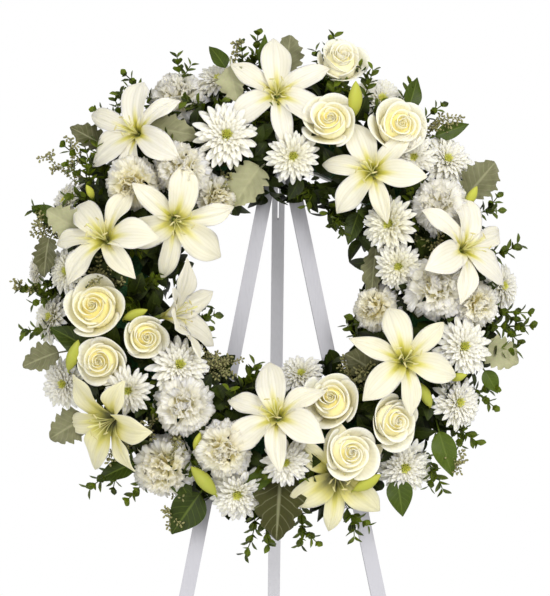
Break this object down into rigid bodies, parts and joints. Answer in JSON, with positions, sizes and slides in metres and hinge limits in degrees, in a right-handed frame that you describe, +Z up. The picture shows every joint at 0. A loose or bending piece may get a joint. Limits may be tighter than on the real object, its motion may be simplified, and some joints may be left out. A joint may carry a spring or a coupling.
{
  "type": "funeral wreath",
  "caption": "Ring of white lilies, roses, chrysanthemums and carnations with mixed greenery, wired to a folding white wooden easel.",
  "frame": {"origin": "middle of the base of the whole object's box, on the floor", "axes": "+Z up, -Y the way the flowers face, +X to the viewer's right"},
  "size_m": [0.7024, 0.6306, 1.3071],
  "materials": {
    "lily_petal": "soft satin",
    "rose_petal": "velvety",
    "chrysanthemum_petal": "matt",
    "carnation_petal": "matt",
    "leaves": "waxy",
    "floral_foam": "matt, fine open cells",
    "tray_plastic": "moulded",
    "green_wire": "enamelled",
    "white_painted_wood": "thin white paint",
    "steel": "zinc plated"
  },
  "bodies": {
    "stand_and_wreath": {"binding_wire_left": "green_wire", "binding_wire_right": "green_wire", "binding_wire_top": "green_wire", "carnation_bottom_left": "carnation_petal", "carnation_far_right": "carnation_petal", "carnation_inner_right": "carnation_petal", "carnation_inner_top": "carnation_petal", "carnation_left": "carnation_petal", "carnation_lower_inner": "carnation_petal", "carnation_lower_left": "carnation_petal", "carnation_right": "carnation_petal", "carnation_right_upper": "carnation_petal", "carnation_top_left": "carnation_petal", "carnation_upper_left": "carnation_petal", "foam_ring": "floral_foam", "front_leg_left": "white_painted_wood", "front_leg_right": "white_painted_wood", "head_block": "white_painted_wood", "hinge_leaf_fixed": "steel", "hinge_pin": "steel", "leaf_bed": "leaves", "lily_bottom": "lily_petal", "lily_bottom_centre": "lily_petal", "lily_inner_left": "lily_petal", "lily_inner_low": "lily_petal", "lily_left": "lily_petal", "lily_lower_left": "lily_petal", "lily_lower_right": "lily_petal", "lily_right": "lily_petal", "lily_top": "lily_petal", "lily_upper_left": "lily_petal", "lily_upper_right": "lily_petal", "mum_bottom": "chrysanthemum_petal", "mum_far_left": "chrysanthemum_petal", "mum_far_right": "chrysanthemum_petal", "mum_inner_bottom": "chrysanthemum_petal", "mum_inner_right": "chrysanthemum_petal", "mum_left": "chrysanthemum_petal", "mum_left_upper": "chrysanthemum_petal", "mum_lower_inner": "chrysanthemum_petal", "mum_lower_right": "chrysanthemum_petal", "mum_right_lower": "chrysanthemum_petal", "mum_right_upper": "chrysanthemum_petal", "mum_top_inner": "chrysanthemum_petal", "mum_top_right": "chrysanthemum_petal", "mum_upper_left": "chrysanthemum_petal", "ring_tray": "tray_plastic", "rose_bottom": "rose_petal", "rose_inner_left": "rose_petal", "rose_left": "rose_petal", "rose_lower_inner": "rose_petal", "rose_lower_left": "rose_petal", "rose_lower_right": "rose_petal", "rose_top": "rose_petal", "rose_upper_inner": "rose_petal", "rose_upper_right": "rose_petal", "stop_block": "white_painted_wood"},
    "rear_leg_assembly": {"hinge_leaf_swinging": "steel", "rear_leg": "white_painted_wood"}
  },
  "joints": [
    {"name": "rear_leg_fold", "type": "hinge", "parent": "stand_and_wreath", "child": "rear_leg_assembly", "pos_m": [0.01372, -0.05488, 1.15684], "axis": [-1, 0, 0], "range_deg": [0, 25]}
  ]
}
